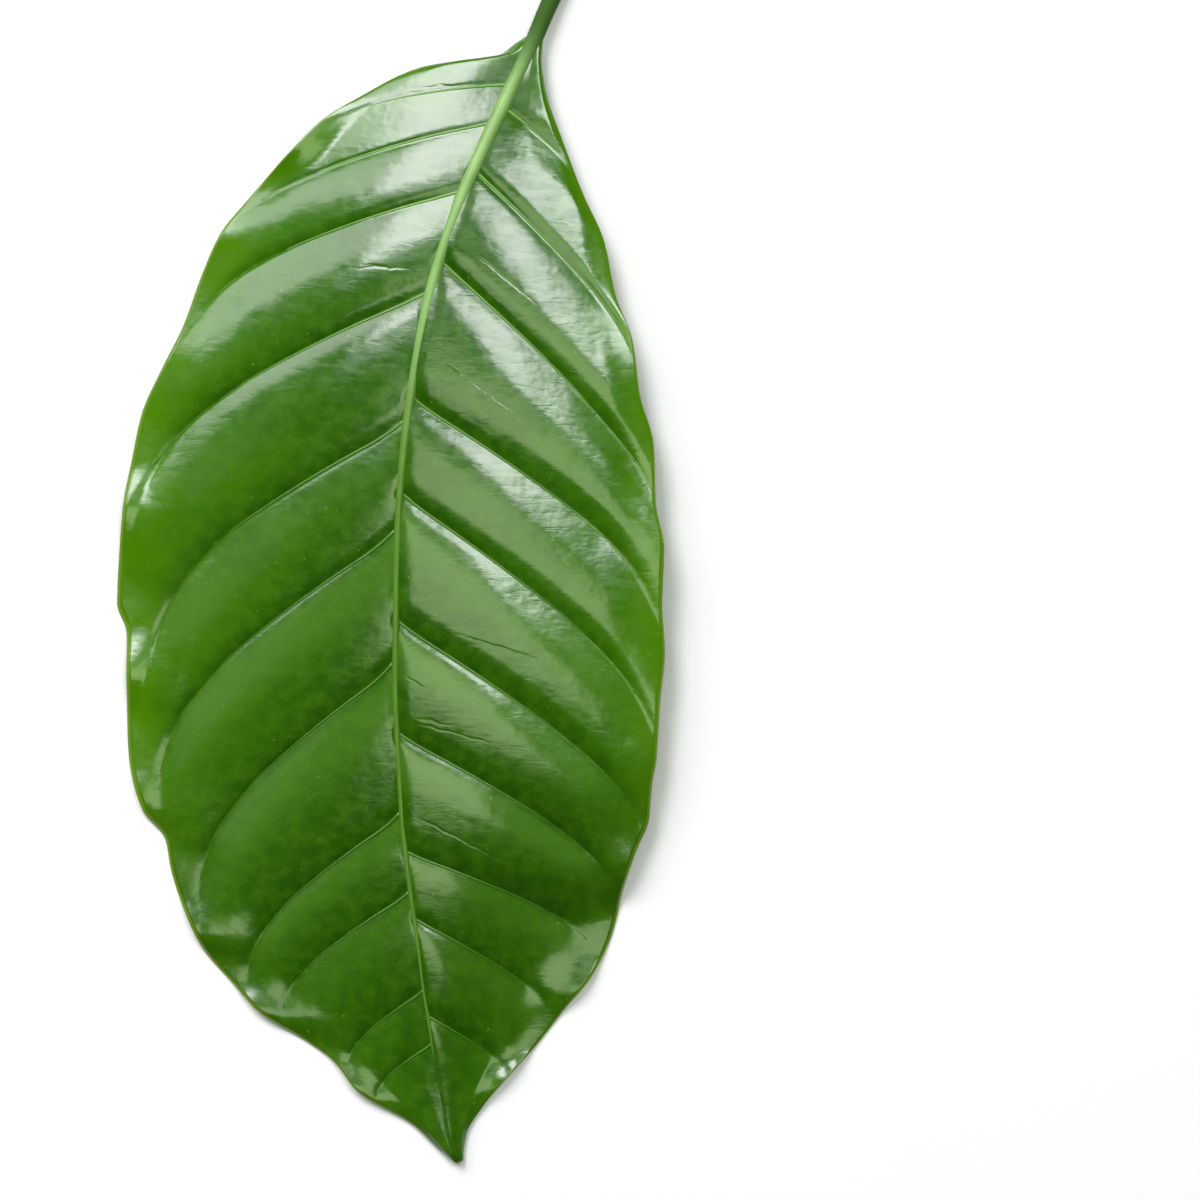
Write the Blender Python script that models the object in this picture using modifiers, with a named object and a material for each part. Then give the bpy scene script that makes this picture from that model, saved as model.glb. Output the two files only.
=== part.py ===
"""A coffee leaf, picked and lying on its underside, as one solid in metres with +Z up.

The leaf is set out in millimetres on a plan of its own: x runs across it, and y runs down it from the
base of the blade (0) to the tip (BLADE_LENGTH). The stalk lies at y below 0. The world's +Y points from
the tip to the stalk.
"""

import bmesh
import bpy
import numpy as np

MM = 0.001
NAME = "coffee_leaf"

# Plan sizes
BLADE_LENGTH = 150.0
STALK_LENGTH = 10.5
CENTRE_X = -14.3
CENTRE_Y = 69.1

# The midrib's line, as (y, x)
MIDRIB = (
    (-STALK_LENGTH, 4.3), (-5.4, 2.1), (0.8, -0.1), (9.1, -3.4), (21.5, -8.0), (31.9, -10.9),
    (46.2, -13.0), (61.8, -13.8), (83.4, -13.1), (104.1, -11.0), (120.2, -8.1), (136.2, -4.8),
    (148.4, -1.6), (BLADE_LENGTH, -0.9),
)

# The blade's two edges from the base to the tip, as (x, y)
LEFT_EDGE = (
    (-0.9, -0.6), (-2.5, 0.6), (-4.3, 2.1), (-6.8, 2.9), (-13.8, 4.0), (-16.8, 5.2), (-22.1, 8.4),
    (-26.9, 11.7), (-31.5, 16.8), (-36.9, 23.6), (-39.7, 27.6), (-41.9, 33.1), (-44.1, 40.4),
    (-46.7, 46.5), (-48.9, 52.3), (-49.8, 58.0), (-50.6, 64.8), (-50.8, 73.9), (-50.7, 77.5),
    (-49.2, 81.4), (-48.8, 87.8), (-48.0, 97.4), (-45.8, 104.6), (-42.5, 108.4), (-41.5, 112.4),
    (-39.4, 117.7), (-36.6, 122.7), (-32.6, 126.8), (-28.6, 130.6), (-22.4, 134.0), (-18.5, 136.5),
    (-14.9, 140.4), (-7.8, 144.1), (-3.9, 147.3), (-0.9, 149.6),
)
RIGHT_EDGE = (
    (1.5, -0.9), (1.4, 1.7), (2.1, 6.1), (4.7, 12.7), (8.0, 20.0), (11.1, 26.0), (13.0, 33.0),
    (15.6, 39.0), (17.0, 46.0), (19.2, 52.5), (19.9, 60.0), (21.4, 66.5), (21.5, 73.0), (22.3, 80.5),
    (22.0, 87.0), (22.0, 93.5), (21.6, 97.5), (21.5, 101.7), (19.9, 106.7), (18.6, 111.6),
    (17.6, 117.1), (15.5, 122.6), (11.7, 128.0), (8.0, 133.3), (5.0, 137.0), (1.8, 141.3),
    (-0.3, 145.5), (-0.5, 147.7), (-0.4, 149.4),
)

# Each side vein, as (y where it leaves the midrib, y where it would meet the edge)
LEFT_VEINS = (
    (6.0, 11.7), (11.3, 23.6), (20.7, 36.0), (34.5, 58.0), (52.0, 79.5), (66.5, 97.4), (84.0, 112.4),
    (103.5, 125.2), (113.7, 130.5), (126.5, 136.8), (133.5, 141.0),
)
RIGHT_VEINS = (
    (9.0, 16.5), (17.7, 38.5), (30.0, 57.0), (48.5, 70.5), (61.2, 86.0), (78.0, 100.0), (92.8, 109.5),
    (108.3, 118.5), (117.0, 128.0), (129.8, 136.5),
)
LEFT_BEND = 0.035
RIGHT_BEND = 0.02

# Heights of the underside above the surface that the leaf lies on, as (y, z)
MIDRIB_HEIGHT = (
    (-STALK_LENGTH, 0.8), (0.0, 2.1), (20.0, 6.1), (40.0, 7.5), (55.0, 7.9), (75.0, 7.3), (100.0, 5.5),
    (125.0, 3.3), (142.0, 1.1), (BLADE_LENGTH, 0.6),
)
LEFT_EDGE_HEIGHT = (
    (-1.0, 1.6), (12.0, 0.5), (25.0, 0.1), (45.0, -0.6), (56.0, -1.1), (98.0, -1.1), (130.0, -0.6),
    (BLADE_LENGTH, 0.6),
)
RIGHT_EDGE_HEIGHT = (
    (-1.0, 2.0), (10.0, 3.6), (25.0, 4.4), (50.0, 5.4), (75.0, 5.4), (95.0, 4.2), (108.0, 1.8),
    (117.0, -0.9), (130.0, -0.9), (138.0, -0.4), (BLADE_LENGTH, 0.6),
)

# How far each half bows up between the midrib and its edge, as (y, mm), and the share of it that each
# place across the half gets, from the midrib (0) to the edge (1)
LEFT_BOW = ((0, 0.2), (25, 0.6), (60, 0.2), (BLADE_LENGTH, 0))
RIGHT_BOW = ((0, 0.2), (30, 0.6), (75, 0.6), (BLADE_LENGTH, 0))
BOW_SHAPE = ((0, 0), (0.4, 1), (1, 0))

# How straight each half falls to its edge, from an S-curve (0) to a straight line (1)
LEFT_STRAIGHT = 0.7
RIGHT_STRAIGHT = 0.15

# The swellings between the side veins: their height, each half's profiles from one vein (0) to the next (1)
# by the midrib and farther out, its share of that height from the midrib (0) to the edge (1), the share down
# the blade, and the shares where two veins lie close or far apart
SWELL = 0.88
LEFT_NEAR_PROFILE = ((0, 0), (0.04, 0.3), (0.2, 0.74), (0.5, 1), (0.84, 0.76), (1, 0))
LEFT_FAR_PROFILE = (
    (0, 0), (0.04, 0.2), (0.16, 0.56), (0.38, 0.94), (0.56, 1), (0.82, 0.78), (0.95, 0.4), (1, 0)
)
RIGHT_NEAR_PROFILE = ((0, 0), (0.08, 0.45), (0.22, 0.78), (0.5, 0.97), (0.75, 1), (0.9, 0.74), (1, 0))
RIGHT_FAR_PROFILE = (
    (0, 0), (0.15, 0.46), (0.3, 0.82), (0.42, 0.96), (0.58, 1), (0.75, 0.92), (0.88, 0.55), (1, 0)
)
FAR_SHARE = ((0, 0), (0.45, 1))
LEFT_ACROSS = ((0, 0.35), (0.05, 0.7), (0.3, 1), (0.7, 1.1), (0.88, 0.5), (1, 0.1))
RIGHT_ACROSS = ((0, 0.65), (0.1, 0.85), (0.5, 1), (0.75, 1.1), (0.88, 0.7), (1, 0.3))
SWELL_ALONG = ((0, 0.4), (25, 1.05), (60, 0.9), (110, 0.85), (BLADE_LENGTH, 0.6))
FULL_GAP = 14.0
LEAST_SHARE = 0.35
MOST_SHARE = 1.1

# The waves of the edge itself, as (y, mm), and their share across the half
LEFT_WAVE = (
    (0, 0), (28, 0), (36, 0.5), (41, 0.2), (47, 0.7), (58, 0), (65.5, 1.5), (79, 0), (87, 1.6), (95, 0),
    (103, 1.5), (113, 0), (120.5, 1.4), (124.5, 0.3), (130.5, 1.2), (134.5, 0.3), (139.5, 0.9), (145, 0),
    (BLADE_LENGTH, 0),
)
RIGHT_WAVE = (
    (0, 0), (28, 0), (40, 0.6), (52, 0), (66, 0.7), (80, 0), (92, 0.5), (103, 0), (109, 0.9), (116, 0),
    (125, 1.5), (131, 0), (137, 1.2), (143, 0), (BLADE_LENGTH, 0),
)
WAVE_SHARE = ((0, 0), (0.74, 0), (0.88, 0.4), (1, 1))

# Thicknesses
BLADE_THICKNESS = 0.6
MIDRIB_RADIUS = (
    (-STALK_LENGTH, 1.25), (0.0, 1.15), (15.0, 0.85), (60.0, 0.65), (110.0, 0.5), (140.0, 0.42),
)
MIDRIB_END = 141.0

# How finely the shapes are divided
ROW_STEP = 2.3
LAST_ROW = 148.5
HALF_COLUMNS = 10
EDGE_CROWDING = 0.75
MIDRIB_STEP = 4.0
MIDRIB_RESOLUTION = 2
LEAST_SPACING = 0.12

LEAF_COLOUR = (0.055, 0.20, 0.012, 1.0)
LEAF_ROUGHNESS = 0.32


def through(knots, at):
    """The value at each place of a cubic through the knots that never overshoots them."""
    place, value = np.array(knots, float).T
    step = np.diff(place)
    slope = np.diff(value) / step
    before, after = slope[:-1], slope[1:]
    turning = before * after <= 0
    mean = 2 * before * after / np.where(turning, 1, before + after)
    tangent = np.concatenate([slope[:1], np.where(turning, 0, mean), slope[-1:]])
    at = np.clip(at, place[0], place[-1])
    i = np.clip(np.searchsorted(place, at) - 1, 0, len(step) - 1)
    t = (at - place[i]) / step[i]
    rise = value[i] * (1 + 2 * t) * (1 - t) ** 2 + value[i + 1] * (3 - 2 * t) * t**2
    return rise + step[i] * (tangent[i] * t * (1 - t) ** 2 - tangent[i + 1] * t**2 * (1 - t))


class Half:
    """One half of the blade, from the midrib (across = 0) to the edge (across = 1)."""

    def __init__(self, edge, veins, bend, edge_height, bow, straight, profiles, swell_across, wave):
        points = np.array(edge, float)
        length = np.concatenate([[0], np.cumsum(np.linalg.norm(np.diff(points, axis=0), axis=1))])
        starts = [start for start, end in veins]
        ends = np.interp([end for start, end in veins], points[:, 1], length)
        self.edge_x = list(zip(length, points[:, 0]))
        self.edge_y = list(zip(length, points[:, 1]))
        self.reach = [(0.0, 0.0), *zip(starts, ends), (BLADE_LENGTH, length[-1])]
        self.stations = np.array([0.0, *starts, BLADE_LENGTH])
        self.bend = bend
        self.edge_height = edge_height
        self.bow = bow
        self.straight = straight
        self.near_profile, self.far_profile = profiles
        self.swell_across = swell_across
        self.wave = wave

    def plan(self, along, across):
        """The place on the plan, on rows that run from the midrib as the side veins do."""
        start_x = through(MIDRIB, along)
        reached = through(self.reach, along)
        chord_x = through(self.edge_x, reached) - start_x
        chord_y = through(self.edge_y, reached) - along
        bow = self.bend * 4 * across * (1 - across)
        return start_x + chord_x * across - chord_y * bow, along + chord_y * across + chord_x * bow

    def swelling(self, along, across):
        """The height of the blade over its veins: none on a vein, most between two."""
        i = np.clip(np.searchsorted(self.stations, along) - 1, 0, len(self.stations) - 2)
        gap = self.stations[i + 1] - self.stations[i]
        between = np.clip((along - self.stations[i]) / gap, 0, 1)
        share = np.clip(gap / FULL_GAP, LEAST_SHARE, MOST_SHARE)
        share = share * through(SWELL_ALONG, along) * through(self.swell_across, across)
        near, far = through(self.near_profile, between), through(self.far_profile, between)
        return SWELL * share * (near + (far - near) * through(FAR_SHARE, across))

    def surface(self, along, across):
        """The underside's x, y and height, which is never below the surface that the leaf lies on."""
        x, y = self.plan(along, across)
        middle = through(MIDRIB_HEIGHT, along)
        drop = self.straight * across + (1 - self.straight) * across**2 * (3 - 2 * across)
        fall = (middle - through(self.edge_height, y)) * drop
        bow = through(self.bow, along) * through(BOW_SHAPE, across)
        wave = through(self.wave, y) * through(WAVE_SHARE, across)
        z = middle - fall + bow + self.swelling(along, across) + wave
        return x, y, np.maximum(z, 0)


LEFT = Half(
    LEFT_EDGE, LEFT_VEINS, LEFT_BEND, LEFT_EDGE_HEIGHT, LEFT_BOW, LEFT_STRAIGHT,
    (LEFT_NEAR_PROFILE, LEFT_FAR_PROFILE), LEFT_ACROSS, LEFT_WAVE,
)
RIGHT = Half(
    RIGHT_EDGE, RIGHT_VEINS, -RIGHT_BEND, RIGHT_EDGE_HEIGHT, RIGHT_BOW, RIGHT_STRAIGHT,
    (RIGHT_NEAR_PROFILE, RIGHT_FAR_PROFILE), RIGHT_ACROSS, RIGHT_WAVE,
)


def world(x, y, z):
    """Plan millimetres to world metres, one row for each point."""
    return np.stack([x - CENTRE_X, CENTRE_Y - y, z], axis=-1) * MM


def rows():
    """Where the rows of faces leave the midrib: evenly spaced, but with one on every side vein."""
    even = np.linspace(0, LAST_ROW, round(LAST_ROW / ROW_STEP) + 1)
    for start, end in LEFT_VEINS + RIGHT_VEINS:
        even[abs(even - start).argmin()] = start
    return even


def clear_scene():
    for leftover in list(bpy.data.objects):
        bpy.data.objects.remove(leftover, do_unlink=True)


def new_object(name, mesh, collection):
    made = bpy.data.objects.new(name, mesh)
    collection.objects.link(made)
    return made


def blade_mesh():
    """The underside of the blade as an open sheet, already split into triangles."""
    stations = rows()
    sheet = bmesh.new()
    bmesh.ops.create_grid(sheet, x_segments=2 * HALF_COLUMNS, y_segments=len(stations) - 1, size=1)
    across = np.array([vertex.co.x for vertex in sheet.verts])
    row = np.array([vertex.co.y for vertex in sheet.verts])
    along = stations[np.rint((1 - row) / 2 * (len(stations) - 1)).astype(int)]
    out = abs(across) ** EDGE_CROWDING
    left = world(*LEFT.surface(along, out))
    right = world(*RIGHT.surface(along, out))
    for vertex, place in zip(sheet.verts, np.where(across[:, None] < 0, left, right)):
        vertex.co = place
    bmesh.ops.remove_doubles(sheet, verts=sheet.verts, dist=LEAST_SPACING * MM)
    bmesh.ops.triangulate(sheet, faces=sheet.faces, quad_method="SHORT_EDGE")
    bmesh.ops.recalc_face_normals(sheet, faces=sheet.faces)
    if sum(face.normal.z for face in sheet.faces) < 0:
        bmesh.ops.reverse_faces(sheet, faces=sheet.faces)
    mesh = bpy.data.meshes.new(NAME)
    sheet.to_mesh(mesh)
    sheet.free()
    return mesh


def midrib_mesh():
    """The midrib and the stalk, as one tapered round bar."""
    count = round((MIDRIB_END + STALK_LENGTH) / MIDRIB_STEP) + 1
    along = np.linspace(-STALK_LENGTH, MIDRIB_END, count)
    height = through(MIDRIB_HEIGHT, along) + BLADE_THICKNESS / 2
    radius = through(MIDRIB_RADIUS, along)
    path = world(through(MIDRIB, along), along, height)
    curve = bpy.data.curves.new("midrib", "CURVE")
    curve.dimensions = "3D"
    curve.bevel_depth = MM
    curve.bevel_resolution = MIDRIB_RESOLUTION
    curve.use_fill_caps = True
    line = curve.splines.new("POLY")
    line.points.add(count - 1)
    for point, place, thickness in zip(line.points, path, radius):
        point.co = (*place, 1)
        point.radius = thickness
    holder = bpy.data.objects.new("midrib", curve)
    bpy.context.scene.collection.objects.link(holder)
    graph = bpy.context.evaluated_depsgraph_get()
    mesh = bpy.data.meshes.new_from_object(holder.evaluated_get(graph))
    bpy.data.objects.remove(holder, do_unlink=True)
    bar = bmesh.new()
    bar.from_mesh(mesh)
    bmesh.ops.remove_doubles(bar, verts=bar.verts, dist=1e-6)
    for vertex in bar.verts:
        vertex.co.z = max(vertex.co.z, 0)
    bmesh.ops.triangulate(bar, faces=bar.faces)
    bar.to_mesh(mesh)
    bar.free()
    return mesh


def leaf_material():
    material = bpy.data.materials.new("leaf_green")
    material.use_nodes = True
    shader = material.node_tree.nodes["Principled BSDF"]
    shader.inputs["Base Color"].default_value = LEAF_COLOUR
    shader.inputs["Roughness"].default_value = LEAF_ROUGHNESS
    shader.inputs["Metallic"].default_value = 0.0
    return material


def build():
    clear_scene()
    parts = bpy.data.collections.new(NAME)
    helpers = bpy.data.collections.new("helpers")
    bpy.context.scene.collection.children.link(parts)
    bpy.context.scene.collection.children.link(helpers)

    midrib = new_object("midrib", midrib_mesh(), helpers)
    midrib.hide_render = True

    leaf = new_object(NAME, blade_mesh(), parts)
    leaf.data.materials.append(leaf_material())
    thicken = leaf.modifiers.new("thickness", "SOLIDIFY")
    thicken.thickness = BLADE_THICKNESS * MM
    thicken.offset = 1
    join = leaf.modifiers.new("midrib", "BOOLEAN")
    join.operation = "UNION"
    join.object = midrib


build()
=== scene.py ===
"""A picked coffee leaf on a white table, seen from straight above: its finished surface, veins and light.

The leaf is set out in millimetres on a plan of its own. x runs across it, and y runs down it from the base
of the blade (0) to the tip (BLADE_LENGTH); the stalk lies at y below 0. Heights are above the table.
"""

import math

import bpy
import numpy as np
from mathutils import Matrix, Vector

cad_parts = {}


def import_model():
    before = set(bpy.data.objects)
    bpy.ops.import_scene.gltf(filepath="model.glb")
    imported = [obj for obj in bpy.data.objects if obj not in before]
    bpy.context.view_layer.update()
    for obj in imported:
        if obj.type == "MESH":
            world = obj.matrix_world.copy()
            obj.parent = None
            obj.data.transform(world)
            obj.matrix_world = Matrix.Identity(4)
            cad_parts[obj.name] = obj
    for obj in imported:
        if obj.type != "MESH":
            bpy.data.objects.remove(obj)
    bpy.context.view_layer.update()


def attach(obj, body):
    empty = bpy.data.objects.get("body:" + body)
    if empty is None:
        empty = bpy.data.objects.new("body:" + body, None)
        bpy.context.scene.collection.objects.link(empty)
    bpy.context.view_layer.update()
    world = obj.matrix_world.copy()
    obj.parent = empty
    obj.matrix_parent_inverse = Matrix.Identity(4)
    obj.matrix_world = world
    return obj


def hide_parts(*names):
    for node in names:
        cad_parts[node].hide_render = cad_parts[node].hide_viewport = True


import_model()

MM = 0.001
NODE = "coffee_leaf"

# Plan sizes
BLADE_LENGTH = 150.0
STALK_LENGTH = 10.5
CENTRE_X = -14.3
CENTRE_Y = 69.1

# The midrib's line, as (y, x)
MIDRIB = (
    (-STALK_LENGTH, 4.3), (-5.4, 2.1), (0.8, -0.1), (9.1, -3.4), (21.5, -8.0), (31.9, -10.9),
    (46.2, -13.0), (61.8, -13.8), (83.4, -13.1), (104.1, -11.0), (120.2, -8.1), (136.2, -4.8),
    (148.4, -1.6), (BLADE_LENGTH, -0.9),
)

# The blade's two edges from the base to the tip, as (x, y)
LEFT_EDGE = (
    (-0.9, -0.6), (-2.5, 0.6), (-4.3, 2.1), (-6.8, 2.9), (-13.8, 4.0), (-16.8, 5.2), (-22.1, 8.4),
    (-26.9, 11.7), (-31.5, 16.8), (-36.9, 23.6), (-39.7, 27.6), (-41.9, 33.1), (-44.1, 40.4),
    (-46.7, 46.5), (-48.9, 52.3), (-49.8, 58.0), (-50.6, 64.8), (-50.8, 73.9), (-50.7, 77.5),
    (-49.2, 81.4), (-48.8, 87.8), (-48.0, 97.4), (-45.8, 104.6), (-42.5, 108.4), (-41.5, 112.4),
    (-39.4, 117.7), (-36.6, 122.7), (-32.6, 126.8), (-28.6, 130.6), (-22.4, 134.0), (-18.5, 136.5),
    (-14.9, 140.4), (-7.8, 144.1), (-3.9, 147.3), (-0.9, 149.6),
)
RIGHT_EDGE = (
    (1.5, -0.9), (1.4, 1.7), (2.1, 6.1), (4.7, 12.7), (8.0, 20.0), (11.1, 26.0), (13.0, 33.0),
    (15.6, 39.0), (17.0, 46.0), (19.2, 52.5), (19.9, 60.0), (21.4, 66.5), (21.5, 73.0), (22.3, 80.5),
    (22.0, 87.0), (22.0, 93.5), (21.6, 97.5), (21.5, 101.7), (19.9, 106.7), (18.6, 111.6),
    (17.6, 117.1), (15.5, 122.6), (11.7, 128.0), (8.0, 133.3), (5.0, 137.0), (1.8, 141.3),
    (-0.3, 145.5), (-0.5, 147.7), (-0.4, 149.4),
)

# Each side vein, as (y where it leaves the midrib, y where it would meet the edge)
LEFT_VEINS = (
    (6.0, 11.7), (11.3, 23.6), (20.7, 36.0), (34.5, 58.0), (52.0, 79.5), (66.5, 97.4), (84.0, 112.4),
    (103.5, 125.2), (113.7, 130.5), (126.5, 136.8), (133.5, 141.0),
)
RIGHT_VEINS = (
    (9.0, 16.5), (17.7, 38.5), (30.0, 57.0), (48.5, 70.5), (61.2, 86.0), (78.0, 100.0), (92.8, 109.5),
    (108.3, 118.5), (117.0, 128.0), (129.8, 136.5),
)

# How far a row that runs out as the side veins do bows from a straight line, as a share of its length
LEFT_BEND = 0.035
RIGHT_BEND = 0.02

# How far a side vein turns down the blade by the edge, in mm, how that comes about across the half, and
# its share down the blade
LEFT_HOOK = 12.0
RIGHT_HOOK = 5.0
HOOK_SHAPE = (
    (0, -0.1), (0.05, -0.03), (0.12, 0), (0.55, 0), (0.75, 0.1), (0.85, 0.28), (0.93, 0.62), (1, 1.2)
)
HOOK_ALONG = ((0, 0), (30, 0.4), (55, 1), (90, 1), (115, 0.4), (BLADE_LENGTH, 0))

# Heights of the underside above the table, as (y, z)
MIDRIB_HEIGHT = (
    (-STALK_LENGTH, 0.8), (0.0, 2.1), (20.0, 6.1), (40.0, 7.5), (55.0, 7.9), (75.0, 7.3), (100.0, 5.5),
    (125.0, 3.3), (142.0, 1.1), (BLADE_LENGTH, 0.6),
)
LEFT_EDGE_HEIGHT = (
    (-1.0, 1.6), (12.0, 0.5), (25.0, 0.1), (45.0, -0.6), (56.0, -1.1), (98.0, -1.1), (130.0, -0.6),
    (BLADE_LENGTH, 0.6),
)
RIGHT_EDGE_HEIGHT = (
    (-1.0, 2.0), (10.0, 3.6), (25.0, 4.4), (50.0, 5.4), (75.0, 5.4), (95.0, 4.2), (108.0, 1.8),
    (117.0, -0.9), (130.0, -0.9), (138.0, -0.4), (BLADE_LENGTH, 0.6),
)

# How far each half bows up between the midrib and its edge, as (y, mm), and the share of it that each
# place across the half gets, from the midrib (0) to the edge (1)
LEFT_BOW = ((0, 0.2), (25, 0.6), (60, 0.2), (BLADE_LENGTH, 0))
RIGHT_BOW = ((0, 0.2), (30, 0.6), (75, 0.6), (BLADE_LENGTH, 0))
BOW_SHAPE = ((0, 0), (0.4, 1), (1, 0))

# How straight each half falls to its edge, from an S-curve (0) to a straight line (1), and over what height
# it eases on to the table
LEFT_STRAIGHT = 0.7
RIGHT_STRAIGHT = 0.15
REST_BLEND = 0.5

# The swellings between the side veins: their height, each half's profiles from one vein (0) to the next (1)
# by the midrib and farther out, its share of that height from the midrib (0) to the edge (1), the share down
# the blade, and the shares where two veins lie close or far apart
SWELL = 0.88
LEFT_NEAR_PROFILE = ((0, 0), (0.04, 0.3), (0.2, 0.74), (0.5, 1), (0.84, 0.76), (1, 0))
LEFT_FAR_PROFILE = (
    (0, 0), (0.04, 0.2), (0.16, 0.56), (0.38, 0.94), (0.56, 1), (0.82, 0.78), (0.95, 0.4), (1, 0)
)
RIGHT_NEAR_PROFILE = ((0, 0), (0.08, 0.45), (0.22, 0.78), (0.5, 0.97), (0.75, 1), (0.9, 0.74), (1, 0))
RIGHT_FAR_PROFILE = (
    (0, 0), (0.15, 0.46), (0.3, 0.82), (0.42, 0.96), (0.58, 1), (0.75, 0.92), (0.88, 0.55), (1, 0)
)
FAR_SHARE = ((0, 0), (0.45, 1))
LEFT_ACROSS = ((0, 0.55), (0.1, 0.75), (0.3, 1), (0.7, 1.1), (0.88, 0.5), (1, 0.1))
RIGHT_ACROSS = ((0, 0.62), (0.028, 0.92), (0.5, 1), (0.75, 1.1), (0.88, 0.7), (1, 0.3))
SWELL_ALONG = ((0, 0.4), (25, 1.05), (52, 0.93), (70, 0.83), (110, 0.8), (BLADE_LENGTH, 0.6))
FULL_GAP = 14.0
LEAST_SHARE = 0.35
MOST_SHARE = 1.1

# The waves of the edge itself, as (y, mm), and their share across the half
LEFT_WAVE = (
    (0, 0), (8, 0.2), (16, 1.7), (22, -0.5), (28, 0.8), (34, 0), (46, 1.0), (56, 0), (65.5, 2.2),
    (77, 0), (87, 2.2), (95, 0), (103, 1.7), (112, 0), (120.5, 1.8), (124.8, 0.3), (130.5, 1.7),
    (134.5, 0.3), (139.5, 1.3), (145, 0), (BLADE_LENGTH, 0),
)
RIGHT_WAVE = (
    (0, 0), (28, 0), (40, 0.6), (52, 0), (66, 0.7), (80, 0), (92, 0.5), (101, 0), (109, 1.2), (116, 0),
    (125, 1.9), (131, 0), (137, 1.6), (143, 0), (BLADE_LENGTH, 0),
)
WAVE_SHARE = ((0, 0), (0.72, 0), (0.87, 0.42), (1, 1))

# Fine creases that run out between the veins, as (along, across) of the inner end and then of the outer end.
# Their half width, their depth and how far they wander from a straight line are in mm.
LEFT_CREASES = (
    (30.6, 0.04, 26.0, 0.36), (29.9, 0.1, 26.4, 0.3), (5.7, 0.18, 4.8, 0.76), (93.0, 0.3, 91.0, 0.55),
)
RIGHT_CREASES = (
    (26.1, 0.09, 24.8, 0.43), (41.1, 0.08, 41.0, 0.44), (74.7, 0.19, 69.3, 0.55), (73.6, 0.3, 68.6, 0.6),
    (84.4, 0.03, 84.2, 0.13), (90.2, 0.03, 85.8, 0.42), (89.4, 0.06, 86.8, 0.25), (102.6, 0.02, 104.0, 0.6),
    (116.0, 0.1, 117.5, 0.5),
)
CREASE_HALF_WIDTH = 0.32
CREASE_DEPTH = 0.024
CREASE_WANDER = 1.1

# The blade's thickness, what it thins to at its edge, and how late it does so
BLADE_THICKNESS = 0.45
EDGE_THICKNESS = 0.22
THINNING_POWER = 12

# Half the midrib's width, and its height over and under the blade's mid-plane, as (y, mm)
MIDRIB_END = 147.0
MIDRIB_HALF_WIDTH = (
    (-STALK_LENGTH, 1.25), (-4.0, 1.15), (0.0, 1.1), (15.0, 0.98), (40.0, 0.82), (60.0, 0.64), (110.0, 0.44),
    (140.0, 0.26), (MIDRIB_END, 0.15),
)
MIDRIB_OVER = (
    (-STALK_LENGTH, 1.2), (-2.0, 1.0), (6.0, 1.0), (60.0, 0.95), (110.0, 0.75), (140.0, 0.45),
    (MIDRIB_END, 0.3),
)
MIDRIB_UNDER = (
    (-STALK_LENGTH, 1.2), (0.0, 1.15), (15.0, 1.0), (60.0, 0.85), (110.0, 0.6), (140.0, 0.35),
    (MIDRIB_END, 0.2),
)

# The side veins' radii at the midrib and at their far ends, the shares of the half between which they run,
# and how far their centre lines lie under the blade's upper face and over its underside
VEIN_OVER = (0.27, 0.06)
VEIN_UNDER = (0.42, 0.16)
VEIN_START = 0.004
VEIN_REACH = 0.9
VEIN_SINK = 0.06
UNDER_VEIN_SINK = 0.1

# How finely the pieces are divided. The blade's columns are at shares of the half's width, and a power
# below 1 sets them closer together towards the edge.
BLADE_ROWS = 430
LAST_ROW = 149.0
HALF_COLUMNS = 46
FIRST_COLUMN = 0.012
SECOND_COLUMN = 0.024
COLUMN_POWER = 0.9
MIDRIB_ROWS = 260
MIDRIB_SIDES = 20
VEIN_ROWS = 48
VEIN_SIDES = 8

# The photograph's frame: how many pixels wide it is, how many of them are one millimetre of the leaf's plan,
# how far it is turned against the plan, and the place on the plan in its middle
PHOTO_SIZE = 1200
PIXELS_PER_MM = 7.56
PHOTO_TURN = math.radians(3.34)
PHOTO_CENTRE = (13.3, 73.4)

# The height on the leaf, in mm, at which the frame is that wide, and the camera's distance from there and
# its near limit, in metres
LEAF_MIDDLE_HEIGHT = 4.0
CAMERA_HEIGHT = 0.95
CAMERA_CLIP = 0.01


def through(knots, at):
    """The value at each place of a cubic through the knots that never overshoots them."""
    place, value = np.array(knots, float).T
    step = np.diff(place)
    slope = np.diff(value) / step
    before, after = slope[:-1], slope[1:]
    turning = before * after <= 0
    mean = 2 * before * after / np.where(turning, 1, before + after)
    tangent = np.concatenate([slope[:1], np.where(turning, 0, mean), slope[-1:]])
    at = np.clip(at, place[0], place[-1])
    i = np.clip(np.searchsorted(place, at) - 1, 0, len(step) - 1)
    t = (at - place[i]) / step[i]
    rise = value[i] * (1 + 2 * t) * (1 - t) ** 2 + value[i + 1] * (3 - 2 * t) * t**2
    return rise + step[i] * (tangent[i] * t * (1 - t) ** 2 - tangent[i + 1] * t**2 * (1 - t))


def world(x, y, z):
    """Plan millimetres to world metres, with the point's coordinates on the last axis."""
    return np.stack([x - CENTRE_X, CENTRE_Y - y, z], axis=-1) * MM


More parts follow.
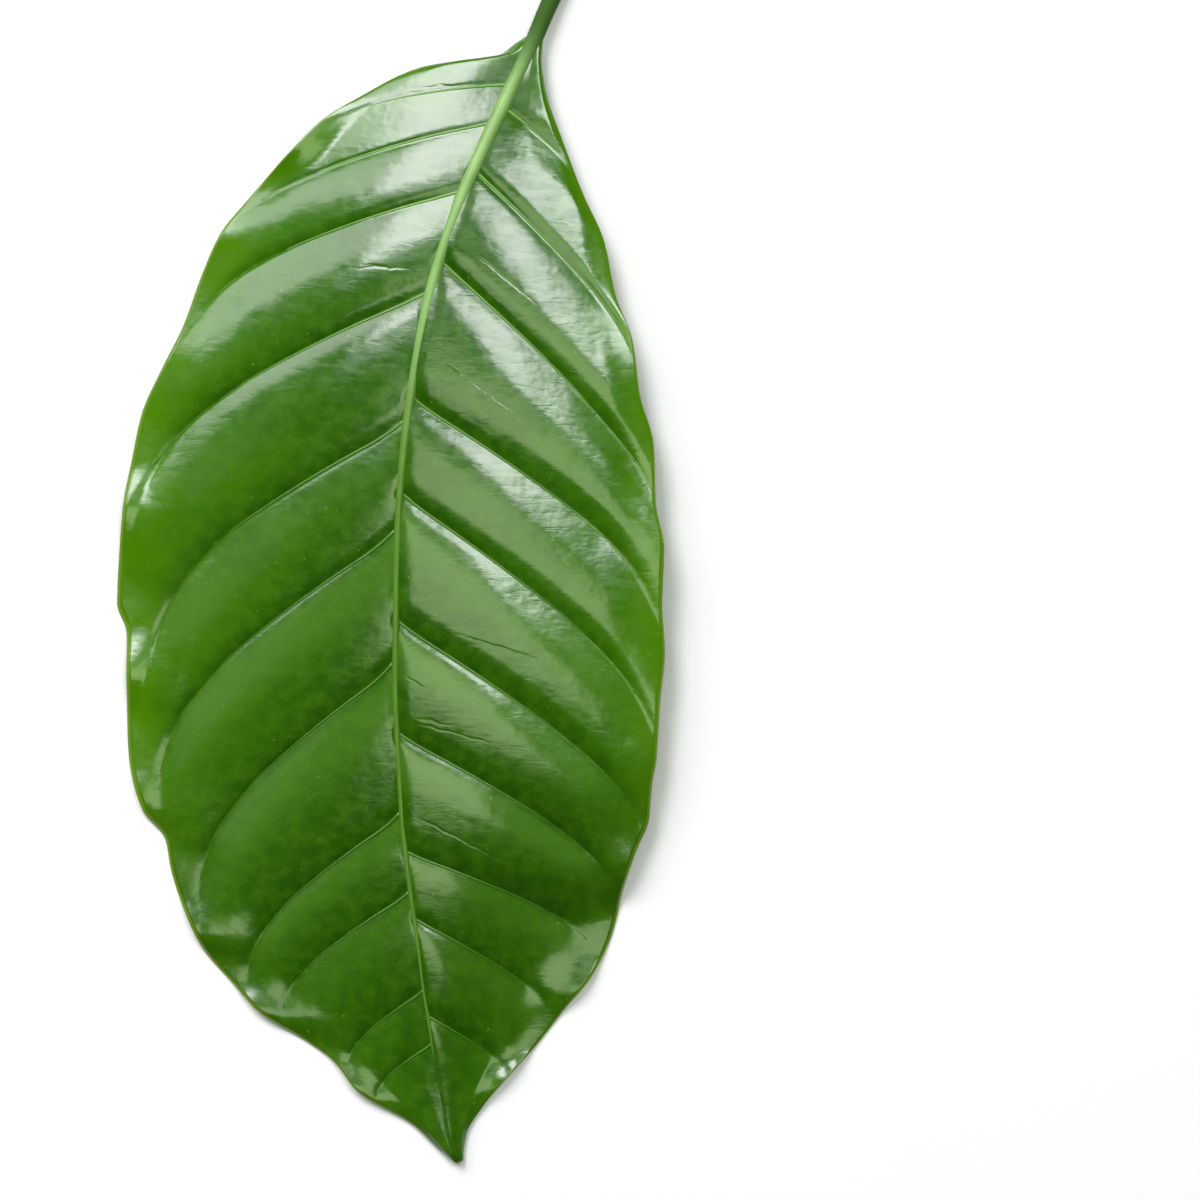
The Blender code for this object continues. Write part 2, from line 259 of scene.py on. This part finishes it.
class Half:
    """One half of the blade, from the midrib (across = 0) to the edge (across = 1)."""

    def __init__(self, edge, veins, bend, hook, edge_height, bow, straight, profiles, swell_across, wave):
        points = np.array(edge, float)
        length = np.concatenate([[0], np.cumsum(np.linalg.norm(np.diff(points, axis=0), axis=1))])
        starts = [start for start, end in veins]
        ends = np.interp([end for start, end in veins], points[:, 1], length)
        self.edge_x = list(zip(length, points[:, 0]))
        self.edge_y = list(zip(length, points[:, 1]))
        self.reach = [(0.0, 0.0), *zip(starts, ends), (BLADE_LENGTH, length[-1])]
        self.veins = starts
        self.stations = np.array([0.0, *starts, BLADE_LENGTH])
        self.bend = bend
        self.hook = hook
        self.edge_height = edge_height
        self.bow = bow
        self.straight = straight
        self.near_profile, self.far_profile = profiles
        self.swell_across = swell_across
        self.wave = wave

    def plan(self, along, across):
        """The place on the plan, on rows that run from the midrib as the side veins do."""
        start_x = through(MIDRIB, along)
        reached = through(self.reach, along)
        chord_x = through(self.edge_x, reached) - start_x
        chord_y = through(self.edge_y, reached) - along
        bow = self.bend * 4 * across * (1 - across)
        return start_x + chord_x * across - chord_y * bow, along + chord_y * across + chord_x * bow

    def hooked(self, along, across):
        """How far down the blade, in mm, a side vein has turned from its row at each place across."""
        return self.hook * through(HOOK_SHAPE, across) * through(HOOK_ALONG, along)

    def between(self, along, across):
        """How far each place is from one side vein (0) to the next (1), and how far apart those two are."""
        along = along - self.hooked(along, across)
        i = np.clip(np.searchsorted(self.stations, along) - 1, 0, len(self.stations) - 2)
        gap = self.stations[i + 1] - self.stations[i]
        return np.clip((along - self.stations[i]) / gap, 0, 1), gap

    def swelling(self, along, across):
        """The height of the blade over its veins: none on a vein, most between two."""
        between, gap = self.between(along, across)
        share = np.clip(gap / FULL_GAP, LEAST_SHARE, MOST_SHARE)
        share = share * through(SWELL_ALONG, along) * through(self.swell_across, across)
        near, far = through(self.near_profile, between), through(self.far_profile, between)
        return SWELL * share * (near + (far - near) * through(FAR_SHARE, across))

    def surface(self, along, across):
        """The underside's x, y and height, which eases on to the table and never goes below it."""
        x, y = self.plan(along, across)
        middle = through(MIDRIB_HEIGHT, along)
        drop = self.straight * across + (1 - self.straight) * across**2 * (3 - 2 * across)
        fall = (middle - through(self.edge_height, y)) * drop
        bow = through(self.bow, along) * through(BOW_SHAPE, across)
        wave = through(self.wave, y) * through(WAVE_SHARE, across)
        z = middle - fall + bow + self.swelling(along, across) + wave
        return x, y, (z + np.sqrt(z**2 + REST_BLEND**2)) / 2


LEFT = Half(
    edge=LEFT_EDGE,
    veins=LEFT_VEINS,
    bend=LEFT_BEND,
    hook=LEFT_HOOK,
    edge_height=LEFT_EDGE_HEIGHT,
    bow=LEFT_BOW,
    straight=LEFT_STRAIGHT,
    profiles=(LEFT_NEAR_PROFILE, LEFT_FAR_PROFILE),
    swell_across=LEFT_ACROSS,
    wave=LEFT_WAVE,
)
RIGHT = Half(
    edge=RIGHT_EDGE,
    veins=RIGHT_VEINS,
    bend=-RIGHT_BEND,
    hook=RIGHT_HOOK,
    edge_height=RIGHT_EDGE_HEIGHT,
    bow=RIGHT_BOW,
    straight=RIGHT_STRAIGHT,
    profiles=(RIGHT_NEAR_PROFILE, RIGHT_FAR_PROFILE),
    swell_across=RIGHT_ACROSS,
    wave=RIGHT_WAVE,
)


def new_piece(name, points, faces, material):
    """A smooth-shaded mesh object from points in world metres and the corner numbers of its faces."""
    mesh = bpy.data.meshes.new(name)
    mesh.from_pydata(points.tolist(), [], faces.tolist())
    mesh.shade_smooth()
    piece = bpy.data.objects.new(name, mesh)
    bpy.context.scene.collection.objects.link(piece)
    mesh.materials.append(material)
    return piece


def add_values(piece, name, values):
    """One number at every point of the piece, for its material to read."""
    layer = piece.data.attributes.new(name, "FLOAT", "POINT")
    layer.data.foreach_set("value", values.astype(np.float32))


def grid_faces(rows, columns, first=0):
    """The corner numbers of a grid's faces, row after row."""
    corner = (first + np.arange(rows - 1)[:, None] * columns + np.arange(columns - 1)).ravel()
    return np.stack([corner, corner + 1, corner + columns + 1, corner + columns], axis=1)


def blade_rows():
    """Where the rows of faces leave the midrib: evenly spaced, but with one on every side vein."""
    rows = np.linspace(0, LAST_ROW, BLADE_ROWS)
    for start in LEFT.veins + RIGHT.veins:
        rows[abs(rows - start).argmin()] = start
    return rows


def make_blade(upper, under):
    """The blade, with its upper face, its underside and a thin rim that joins them."""
    outer = np.linspace(SECOND_COLUMN, 1, HALF_COLUMNS - 1) ** COLUMN_POWER
    across = np.concatenate([-outer[::-1], [-FIRST_COLUMN, 0, FIRST_COLUMN], outer])
    along, across = np.meshgrid(blade_rows(), across, indexing="ij")
    out = abs(across)
    is_left = across < 0
    left_x, left_y, left_z = LEFT.surface(along, out)
    right_x, right_y, right_z = RIGHT.surface(along, out)
    x = np.where(is_left, left_x, right_x)
    y = np.where(is_left, left_y, right_y)
    z = np.where(is_left, left_z, right_z)
    thick = BLADE_THICKNESS + (EDGE_THICKNESS - BLADE_THICKNESS) * out**THINNING_POWER
    rows, columns = along.shape
    top = world(x, y, z + thick).reshape(-1, 3)
    bottom = world(x, y, z).reshape(-1, 3)
    top_faces = grid_faces(rows, columns)
    bottom_faces = grid_faces(rows, columns, rows * columns)[:, ::-1]
    number = np.arange(rows * columns).reshape(rows, columns)
    rim = np.concatenate([number[:, 0], number[-1, 1:], number[-2::-1, -1], number[0, -2:0:-1]])
    ahead = np.roll(rim, -1)
    rim_faces = np.stack([rim, ahead, ahead + rows * columns, rim + rows * columns], axis=1)
    # Turned over, so that all of them face outward
    faces = np.concatenate([top_faces, bottom_faces, rim_faces])[:, ::-1]
    piece = new_piece("leaf_blade", np.concatenate([top, bottom]), faces, upper)
    mesh = piece.data
    mesh.materials.append(under)
    which = np.zeros(len(mesh.polygons), np.int32)
    which[len(top_faces):len(top_faces) + len(bottom_faces)] = 1
    mesh.polygons.foreach_set("material_index", which)

    between = np.where(is_left, LEFT.between(along, out)[0], RIGHT.between(along, out)[0])
    for name, values in (("out", out), ("between", between), ("along", along / BLADE_LENGTH)):
        add_values(piece, name, np.tile(values.ravel(), 2))
    layer = mesh.attributes.new("plan", "FLOAT_VECTOR", "POINT")
    plan = np.stack([x, y, 0 * x], axis=-1).reshape(-1, 3)
    layer.data.foreach_set("vector", np.tile(plan, (2, 1)).ravel().astype(np.float32))
    return piece


def sweep(centre, side, lift, sides):
    """Points and faces of a round-ended bar, from its centre line, half widths and (over, under) heights."""
    turn = np.arange(sides) / sides * 2 * np.pi
    over, under = lift
    forward = np.gradient(centre, axis=0)
    forward /= np.linalg.norm(forward, axis=1, keepdims=True)
    sideways = np.stack([forward[:, 1], -forward[:, 0], 0 * forward[:, 0]], axis=1)
    sideways /= np.linalg.norm(sideways, axis=1, keepdims=True)
    upward = np.cross(sideways, forward)
    height = np.where(np.sin(turn) > 0, over[:, None], under[:, None]) * np.sin(turn)
    width = side[:, None] * np.cos(turn)
    ring = sideways[:, None] * width[..., None] + upward[:, None] * height[..., None]
    points = (centre[:, None] + ring).reshape(-1, 3)
    points[:, 2] = np.maximum(points[:, 2], 0)
    count = len(centre)
    first = np.arange(count - 1)[:, None] * sides + np.arange(sides)
    beside = np.arange(count - 1)[:, None] * sides + np.roll(np.arange(sides), -1)
    walls = np.stack([first, beside, beside + sides, first + sides], axis=-1).reshape(-1, 4)
    return points, walls


def capped(points, walls, sides):
    """The swept bar's faces, with a strip of quads over each end."""
    ends = []
    for start, order in ((0, -1), (len(points) - sides, 1)):
        ring = start + np.arange(sides)
        for i in range(1, sides // 2):
            ends.append([ring[i - 1], ring[i], ring[sides - 1 - i], ring[(sides - i) % sides]][::order])
    return np.concatenate([walls, np.array(ends)])


def make_midrib(material):
    """The midrib, and the stalk that it runs into, as one bar that tapers to the tip."""
    along = np.linspace(-STALK_LENGTH, MIDRIB_END, MIDRIB_ROWS)
    height = through(MIDRIB_HEIGHT, along) + BLADE_THICKNESS / 2
    centre = world(through(MIDRIB, along), along, height)
    side = through(MIDRIB_HALF_WIDTH, along) * MM
    over = through(MIDRIB_OVER, along) * MM
    under = through(MIDRIB_UNDER, along) * MM
    points, walls = sweep(centre, side, (over, under), MIDRIB_SIDES)
    piece = new_piece("leaf_midrib", points, capped(points, walls, MIDRIB_SIDES), material)
    add_values(piece, "along", np.repeat(along / BLADE_LENGTH, MIDRIB_SIDES))
    return piece


def make_side_veins(name, radii, height, material):
    """Every side vein as a slim bar that follows its valley, at that height over the underside."""
    across = np.linspace(VEIN_START, VEIN_REACH, VEIN_ROWS)
    inner, outer = radii
    radius = (inner + (outer - inner) * across / VEIN_REACH) * MM
    all_points = []
    all_faces = []
    count = 0
    for half in (LEFT, RIGHT):
        for start in half.veins:
            x, y, z = half.surface(start + half.hooked(start, across), across)
            points, walls = sweep(world(x, y, z + height), radius, (radius, radius), VEIN_SIDES)
            all_faces.append(capped(points, walls, VEIN_SIDES) + count)
            all_points.append(points)
            count += len(points)
    return new_piece(name, np.concatenate(all_points), np.concatenate(all_faces), material)


class Socket:
    """A value in a material's nodes. + - * and abs() on it add Math nodes."""

    def __init__(self, nodes, output):
        self.nodes = nodes
        self.output = output

    def math(self, operation, *values):
        """A Math node, with its values in the order of its sockets."""
        return self.nodes.add("ShaderNodeMath", {"operation": operation}, dict(enumerate(values)))

    def also(self, output):
        """Another output of the node that this value comes from."""
        return Socket(self.nodes, self.output.node.outputs[output])

    def __abs__(self):
        return self.math("ABSOLUTE", self)

    def __add__(self, other):
        return self.math("ADD", self, other)

    def __sub__(self, other):
        return self.math("SUBTRACT", self, other)

    def __rsub__(self, other):
        return self.math("SUBTRACT", other, self)

    def __mul__(self, other):
        return self.math("MULTIPLY", self, other)

    __radd__ = __add__
    __rmul__ = __mul__


class Nodes:
    """The nodes of one material."""

    def __init__(self, name):
        self.material = bpy.data.materials.new(name)
        self.material.use_nodes = True
        self.tree = self.material.node_tree
        self.shader = self.tree.nodes["Principled BSDF"]

    def add(self, kind, settings=None, sockets=None, output=0):
        """A node of that type, with its settings first and then the values or links of its sockets."""
        node = self.tree.nodes.new(kind)
        for name, value in (settings or {}).items():
            setattr(node, name, value)
        self.fill(node, sockets or {})
        return Socket(self, node.outputs[output])

    def fill(self, node, sockets):
        for name, value in sockets.items():
            if isinstance(value, Socket):
                self.tree.links.new(value.output, node.inputs[name])
            else:
                node.inputs[name].default_value = value

    def finish(self, **sockets):
        """The material, with its shader's sockets filled in; an underscore stands for a space."""
        self.fill(self.shader, {name.replace("_", " "): value for name, value in sockets.items()})
        return self.material

    def attribute(self, name, output="Fac"):
        return self.add("ShaderNodeAttribute", {"attribute_name": name}, output=output)

    def position(self):
        return self.add("ShaderNodeTexCoord", output="Object")

    def split(self, vector):
        """The vector's first part, which also() leads on from to the others."""
        return self.add("ShaderNodeSeparateXYZ", {}, {"Vector": vector})

    def stretch(self, vector, by):
        return self.add("ShaderNodeVectorMath", {"operation": "MULTIPLY"}, {0: vector, 1: by})

    def noise(self, grain, where, distortion=0.0):
        scale, detail, roughness = grain
        values = {"Vector": where, "Scale": scale, "Detail": detail, "Roughness": roughness,
                  "Distortion": distortion}
        return self.add("ShaderNodeTexNoise", {}, values, output="Fac")

    def spread(self, value, low, high, new_low=0.0, new_high=1.0):
        """The value stretched from low..high to new_low..new_high, eased at both ends and held beyond."""
        values = {0: value, 1: low, 2: high, 3: new_low, 4: new_high}
        return self.add("ShaderNodeMapRange", {"interpolation_type": "SMOOTHSTEP"}, values)

    def mix(self, share, first, second):
        return self.add("ShaderNodeMix", {"data_type": "RGBA"}, {0: share, 6: first, 7: second}, output=2)

    def bump(self, height, depth, strength=1.0):
        """The normal of a surface that rises by depth, in metres, where the height is 1."""
        return self.add("ShaderNodeBump", {}, {"Strength": strength, "Distance": depth, "Height": height})


def srgb(red, green, blue):
    """A linear colour from its red, green and blue on the usual scale of 0 to 255."""
    linear = []
    for value in (red, green, blue):
        share = value / 255
        linear.append(share / 12.92 if share <= 0.04 else ((share + 0.055) / 1.055) ** 2.4)
    return (*linear, 1.0)


# The upper face's own greens, and the tints that are laid over them, with how much of each shows. The valley
# tint is painted shade and the ridge tint a painted sheen.
# Less of the low green shows by the tip.
DEEP_GREEN = srgb(38, 82, 2)
MID_GREEN = srgb(52, 101, 1)
EDGE_GREEN = srgb(68, 116, 0)
LOW_GREEN = srgb(36, 76, 2)
LOW_SHARE = 0.8
TIP_LOSS = 0.3
# Painted shade: darker on the slope that falls into each side vein's valley
VALLEY_SHADE_GREEN = srgb(22, 62, 1)
VALLEY_SHADE_SHARE = 0.45
# Painted sheen: paler on the rise just past each side vein, where that slope mirrors the light
RIDGE_SHEEN_GREEN = srgb(82, 128, 40)
RIDGE_SHEEN_SHARE = 0.4
FLECK_GREEN = srgb(70, 112, 8)
FLECK_SHARE = 0.36
SPECK_GREEN = srgb(120, 160, 60)
SPECK_SHARE = 0.35
RIM_GREEN = srgb(120, 150, 40)
RIM_SHARE = 0.7

# Where each of them comes in, from none at the first number to all at the second. OUT is from the midrib (0)
# to the edge (1), GAP from one side vein (0) to the next (1), DOWN from the base (0) to the tip (1), and
# NOISE the noise's own value.
MID_OUT = (0.1, 0.8)
EDGE_OUT = (0.72, 1.02)
LOW_DOWN = (0.4, 0.62)
TIP_DOWN = (0.72, 0.95)
VALLEY_SHADE_GAP = (0.7, 0.98)
VALLEY_SHADE_OUT = (0.98, 0.8)
RIDGE_SHEEN_GAP = (0.0, 0.1)
RIDGE_SHEEN_GAP_END = (0.65, 0.2)
RIDGE_SHEEN_OUT = (0.95, 0.7)
RIDGE_SHEEN_DOWN = (0.3, 0.48)
RIDGE_SHEEN_DOWN_END = (0.95, 0.6)
RIM_OUT = (0.985, 0.996)
FLECK_NOISE = (0.35, 0.7)
SPECK_NOISE = (0.7, 0.76)

# How far the clouds shift the first two of those ranges
MID_DRIFT = 0.9
EDGE_DRIFT = 0.5

# The upper face's noises, as (scale to a millimetre, detail, roughness), and the height in mm of those that
# are raised
CLOUDS = (0.11, 3.0, 0.55)
PATCHES = (0.5, 3.0, 0.6)
SPECKS = (1.3, 2.0, 0.5)
WANDERING = (0.35, 2.0, 0.5)
STREAKS = (1.0, 3.0, 0.5)
STREAK_STRETCH = (0.26, 0.95, 1.0)
STREAK_DISTORTION = 1.2
STREAK_HEIGHT = 0.018
CRINKLES = (0.3, 2.0, 0.5)
CRINKLE_HEIGHT = 0.06
PORES = (2.6, 2.0, 0.6)
PORE_HEIGHT = 0.003

# The upper face's gloss: its roughness at the least and the most, how much the patches shift it, and the
# noise's range over which it changes
UPPER_ROUGHNESS = (0.15, 0.21)
PATCH_DRIFT = 0.6
GLOSS_NOISE = (0.3, 0.7)
WAX_IOR = 1.56

# The share of a crease, from its inner end (0) to its outer end (1), over which it fades in and out
CREASE_FADE_IN = (0.0, 0.3)
CREASE_FADE_OUT = (1.0, 0.6)

# The mottle of the other skins, as (scale to a metre, detail, roughness), and the noise's range that shows
VEIN_MOTTLE = (220.0, 3.0, 0.6)
UNDER_MOTTLE = (300.0, 3.0, 0.6)
MOTTLE_NOISE = (0.3, 0.7)

# The underside
UNDER_GREEN = srgb(112, 148, 84)
DIM_UNDER_GREEN = srgb(98, 136, 70)
UNDER_ROUGHNESS = 0.55
UNDER_RELIEF = 0.3 * MM
UNDER_BUMP = 0.4

# The midrib and the stalk. The ranges are shares of the blade's length.
STALK_GREEN = srgb(46, 82, 6)
MIDRIB_GREEN = srgb(127, 166, 91)
DIM_MIDRIB_GREEN = srgb(84, 126, 38)
STALK_DOWN = (-0.02, 0.06)
DIM_DOWN = (0.2, 0.42)
STALK_ROUGHNESS = 0.75
MIDRIB_ROUGHNESS = 0.36
MIDRIB_MOTTLE_SHARE = 0.2
MIDRIB_IOR = 1.4

# The side veins. The range is in metres along the world's Y, towards the stalk.
VEIN_GREEN = srgb(56, 104, 8)
PALE_VEIN_GREEN = srgb(98, 146, 56)
PALE_VEIN_Y = (-0.01, 0.06)
VEIN_ROUGHNESS = 0.3
UNDER_VEIN_ROUGHNESS = 0.5
VEIN_MOTTLE_SHARE = 0.3
VEIN_RELIEF = 0.2 * MM
VEIN_BUMP = 0.3

# The table, in metres
TABLE_REACH = 3.0
TABLE_WHITE = (0.805, 0.785, 0.83, 1.0)
TABLE_ROUGHNESS = 0.9

# The panels of light that the leaf mirrors, as (name, zenith, bearing, width, height, radiance, colour,
# spin). Sizes are in metres and angles in degrees, zenith from overhead and bearing from +Y towards -X.
WHITE_LIGHT = (1.0, 1.0, 1.0)
PANELS = (
    ("window_panel", 42.5, 27, 0.46, 1.0, 14.0, WHITE_LIGHT, 0),
    ("haze_panel", 26, 44, 0.46, 0.32, 2.8, (0.92, 1.0, 1.0), 0),
    ("west_panel", 57, 51, 0.75, 0.74, 5.2, WHITE_LIGHT, 0),
    ("low_west_panel", 48, 86, 0.7, 0.5, 0.35, WHITE_LIGHT, 0),
    ("far_panel", 30, -40, 0.36, 0.64, 13.5, (0.97, 1.0, 1.0), -35),
    ("between_panel", 30, 7, 0.48, 0.85, 0.9, WHITE_LIGHT, 0),
    ("overhead_panel", 3, -135, 0.75, 0.6, 3.8, (0.84, 1.0, 0.6), 0),
)
PANEL_DISTANCE = 1.6
SKY_COLOUR = (0.9, 0.95, 1.0, 1.0)
SKY_STRENGTH = 0.025


def blade_colour(n, plan, patch):
    """Deep green by the midrib and yellower to the edge, with the tints laid over it, among them a painted
    shade and a painted sheen by the side veins.
    """
    out = n.attribute("out")
    gap = n.attribute("between")
    down = n.attribute("along")
    drift = n.noise(CLOUDS, plan) - 0.5
    body = n.mix(n.spread(out + drift * MID_DRIFT, *MID_OUT), DEEP_GREEN, MID_GREEN)
    body = n.mix(n.spread(out + drift * EDGE_DRIFT, *EDGE_OUT), body, EDGE_GREEN)
    low = n.spread(down, *LOW_DOWN) * LOW_SHARE - n.spread(down, *TIP_DOWN) * TIP_LOSS
    body = n.mix(low, body, LOW_GREEN)
    # Painted shade in the valley before each side vein, fading out towards the edge
    valley = n.spread(gap, *VALLEY_SHADE_GAP) * n.spread(out, *VALLEY_SHADE_OUT)
    body = n.mix(valley * VALLEY_SHADE_SHARE, body, VALLEY_SHADE_GREEN)
    # Painted sheen on the rise just past each side vein, in the lower part of the blade and not by the edge
    ridge_sheen = n.spread(gap, *RIDGE_SHEEN_GAP) * n.spread(gap, *RIDGE_SHEEN_GAP_END) * n.spread(out, *RIDGE_SHEEN_OUT)
    ridge_sheen = ridge_sheen * n.spread(down, *RIDGE_SHEEN_DOWN) * n.spread(down, *RIDGE_SHEEN_DOWN_END)
    body = n.mix(ridge_sheen * RIDGE_SHEEN_SHARE, body, RIDGE_SHEEN_GREEN)
    body = n.mix(n.spread(patch, *FLECK_NOISE) * FLECK_SHARE, body, FLECK_GREEN)
    speck = n.spread(n.noise(SPECKS, plan), *SPECK_NOISE)
    body = n.mix(speck * SPECK_SHARE, body, SPECK_GREEN)
    return n.mix(n.spread(out, *RIM_OUT) * RIM_SHARE, body, RIM_GREEN)


def crease_height(n, plan):
    """The fine creases, as a height in mm that is below 0 in a crease and 0 beside it."""
    x = n.split(plan)
    y = x.also(1) + (n.noise(WANDERING, plan) - 0.5) * CREASE_WANDER
    lines = []
    for half, creases in ((LEFT, LEFT_CREASES), (RIGHT, RIGHT_CREASES)):
        for along_in, across_in, along_out, across_out in creases:
            ends = half.plan(np.array([along_in, along_out]), np.array([across_in, across_out]))
            (x_in, x_out), (y_in, y_out) = np.array(ends).tolist()
            share = (x - x_in) * (1 / (x_out - x_in))
            away = abs(y - share * (y_out - y_in) - y_in)
            inside = n.spread(share, *CREASE_FADE_IN) * n.spread(share, *CREASE_FADE_OUT)
            lines.append(n.spread(away, CREASE_HALF_WIDTH, 0.0) * inside)
    return sum(lines) * -CREASE_DEPTH


def upper_skin():
    """The glossy upper face, whose fine wrinkles show in what it mirrors."""
    n = Nodes("upper_skin")
    plan = n.attribute("plan", "Vector")
    patch = n.noise(PATCHES, plan)
    streak = n.noise(STREAKS, n.stretch(plan, STREAK_STRETCH), STREAK_DISTORTION)
    height = streak * STREAK_HEIGHT + n.noise(CRINKLES, plan) * CRINKLE_HEIGHT
    height = height + n.noise(PORES, plan) * PORE_HEIGHT + crease_height(n, plan)
    rough = n.spread(streak + (patch - 0.5) * PATCH_DRIFT, *GLOSS_NOISE, *UPPER_ROUGHNESS)
    colour = blade_colour(n, plan, patch)
    return n.finish(Base_Color=colour, Roughness=rough, Normal=n.bump(height, MM), IOR=WAX_IOR)


def under_skin():
    """The pale, dull underside."""
    n = Nodes("under_skin")
    mottle = n.noise(UNDER_MOTTLE, n.position())
    body = n.mix(n.spread(mottle, *MOTTLE_NOISE), UNDER_GREEN, DIM_UNDER_GREEN)
    bump = n.bump(mottle, UNDER_RELIEF, UNDER_BUMP)
    return n.finish(Base_Color=body, Roughness=UNDER_ROUGHNESS, Normal=bump)


def midrib_skin():
    """Pale along the blade, greener towards the tip, and dark and dull on the stalk."""
    n = Nodes("midrib_skin")
    down = n.attribute("along")
    on_blade = n.spread(down, *STALK_DOWN)
    pale = n.mix(n.spread(down, *DIM_DOWN), MIDRIB_GREEN, DIM_MIDRIB_GREEN)
    body = n.mix(on_blade, STALK_GREEN, pale)
    mottle = n.noise(VEIN_MOTTLE, n.position())
    body = n.mix(n.spread(mottle, *MOTTLE_NOISE) * MIDRIB_MOTTLE_SHARE, body, STALK_GREEN)
    rough = n.spread(on_blade, 0.0, 1.0, STALK_ROUGHNESS, MIDRIB_ROUGHNESS)
    bump = n.bump(mottle, VEIN_RELIEF, VEIN_BUMP)
    return n.finish(Base_Color=body, Roughness=rough, Normal=bump, IOR=MIDRIB_IOR)


def vein_skin(name, tip_colour, stalk_colour, roughness):
    """The side veins, in one colour towards the tip and another towards the stalk."""
    n = Nodes(name)
    place = n.position()
    towards_stalk = n.split(place).also(1)
    body = n.mix(n.spread(towards_stalk, *PALE_VEIN_Y), tip_colour, stalk_colour)
    mottle = n.noise(VEIN_MOTTLE, place)
    body = n.mix(n.spread(mottle, *MOTTLE_NOISE) * VEIN_MOTTLE_SHARE, body, MID_GREEN)
    return n.finish(Base_Color=body, Roughness=roughness, Normal=n.bump(mottle, VEIN_RELIEF, VEIN_BUMP))


def table_skin():
    """Matt white."""
    return Nodes("table_white").finish(Base_Color=TABLE_WHITE, Roughness=TABLE_ROUGHNESS)


def make_table():
    """A flat sheet that the leaf lies on."""
    corners = np.array([(-1, -1, 0), (1, -1, 0), (1, 1, 0), (-1, 1, 0)]) * TABLE_REACH
    table = new_piece("white_table", corners, np.array([[0, 1, 2, 3]]), table_skin())


def make_camera():
    """Straight above the middle of the photograph's frame, and as wide as that frame at the leaf."""
    wide = PHOTO_SIZE / PIXELS_PER_MM * MM
    lens = bpy.data.cameras.new("camera")
    lens.sensor_fit = "HORIZONTAL"
    lens.angle = 2 * math.atan(wide / 2 / CAMERA_HEIGHT)
    lens.clip_start = CAMERA_CLIP
    camera = bpy.data.objects.new("camera", lens)
    x, y = PHOTO_CENTRE
    camera.location = world(np.array(x), np.array(y), np.array(LEAF_MIDDLE_HEIGHT)) + (0, 0, CAMERA_HEIGHT)
    camera.rotation_euler = (0, 0, PHOTO_TURN)
    bpy.context.scene.collection.objects.link(camera)
    bpy.context.scene.camera = camera


def make_panel(name, zenith, bearing, wide, tall, radiance, colour, spin):
    """A flat panel of light that faces the leaf."""
    lamp = bpy.data.lights.new(name, "AREA")
    lamp.shape = "RECTANGLE"
    lamp.size = wide
    lamp.size_y = tall
    lamp.energy = radiance * math.pi * wide * tall
    lamp.color = colour
    panel = bpy.data.objects.new(name, lamp)
    tilt = math.radians(zenith)
    turn = math.radians(bearing)
    away = Vector((-math.sin(turn) * math.sin(tilt), math.cos(turn) * math.sin(tilt), math.cos(tilt)))
    upward = away.cross(Vector((1, 0, 0))).normalized()
    sideways = upward.cross(away)
    square = Matrix((sideways, upward, away)).transposed().to_4x4()
    spun = square @ Matrix.Rotation(math.radians(spin), 4, "Z")
    panel.matrix_world = Matrix.Translation(away * PANEL_DISTANCE) @ spun
    panel.visible_camera = False
    bpy.context.scene.collection.objects.link(panel)


def make_lights():
    """The panels, a dim even sky, and colours shown as they are."""
    for panel in PANELS:
        make_panel(*panel)
    sky = bpy.data.worlds.new("studio")
    sky.use_nodes = True
    background = sky.node_tree.nodes["Background"]
    background.inputs["Color"].default_value = SKY_COLOUR
    background.inputs["Strength"].default_value = SKY_STRENGTH
    bpy.context.scene.world = sky
    bpy.context.scene.view_settings.view_transform = "Standard"


def dress_leaf():
    """The leaf's four pieces, which stand in for the solid one."""
    blade = make_blade(upper_skin(), under_skin())
    midrib = make_midrib(midrib_skin())
    above_skin = vein_skin("vein_skin", VEIN_GREEN, PALE_VEIN_GREEN, VEIN_ROUGHNESS)
    above = make_side_veins("leaf_side_veins", VEIN_OVER, BLADE_THICKNESS - VEIN_SINK, above_skin)
    below_skin = vein_skin("under_vein_skin", UNDER_GREEN, UNDER_GREEN, UNDER_VEIN_ROUGHNESS)
    below = make_side_veins("leaf_under_veins", VEIN_UNDER, UNDER_VEIN_SINK, below_skin)
    for piece in (blade, midrib, above, below):
        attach(piece, "root")
        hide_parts(NODE)


dress_leaf()
make_table()
make_camera()
make_lights()
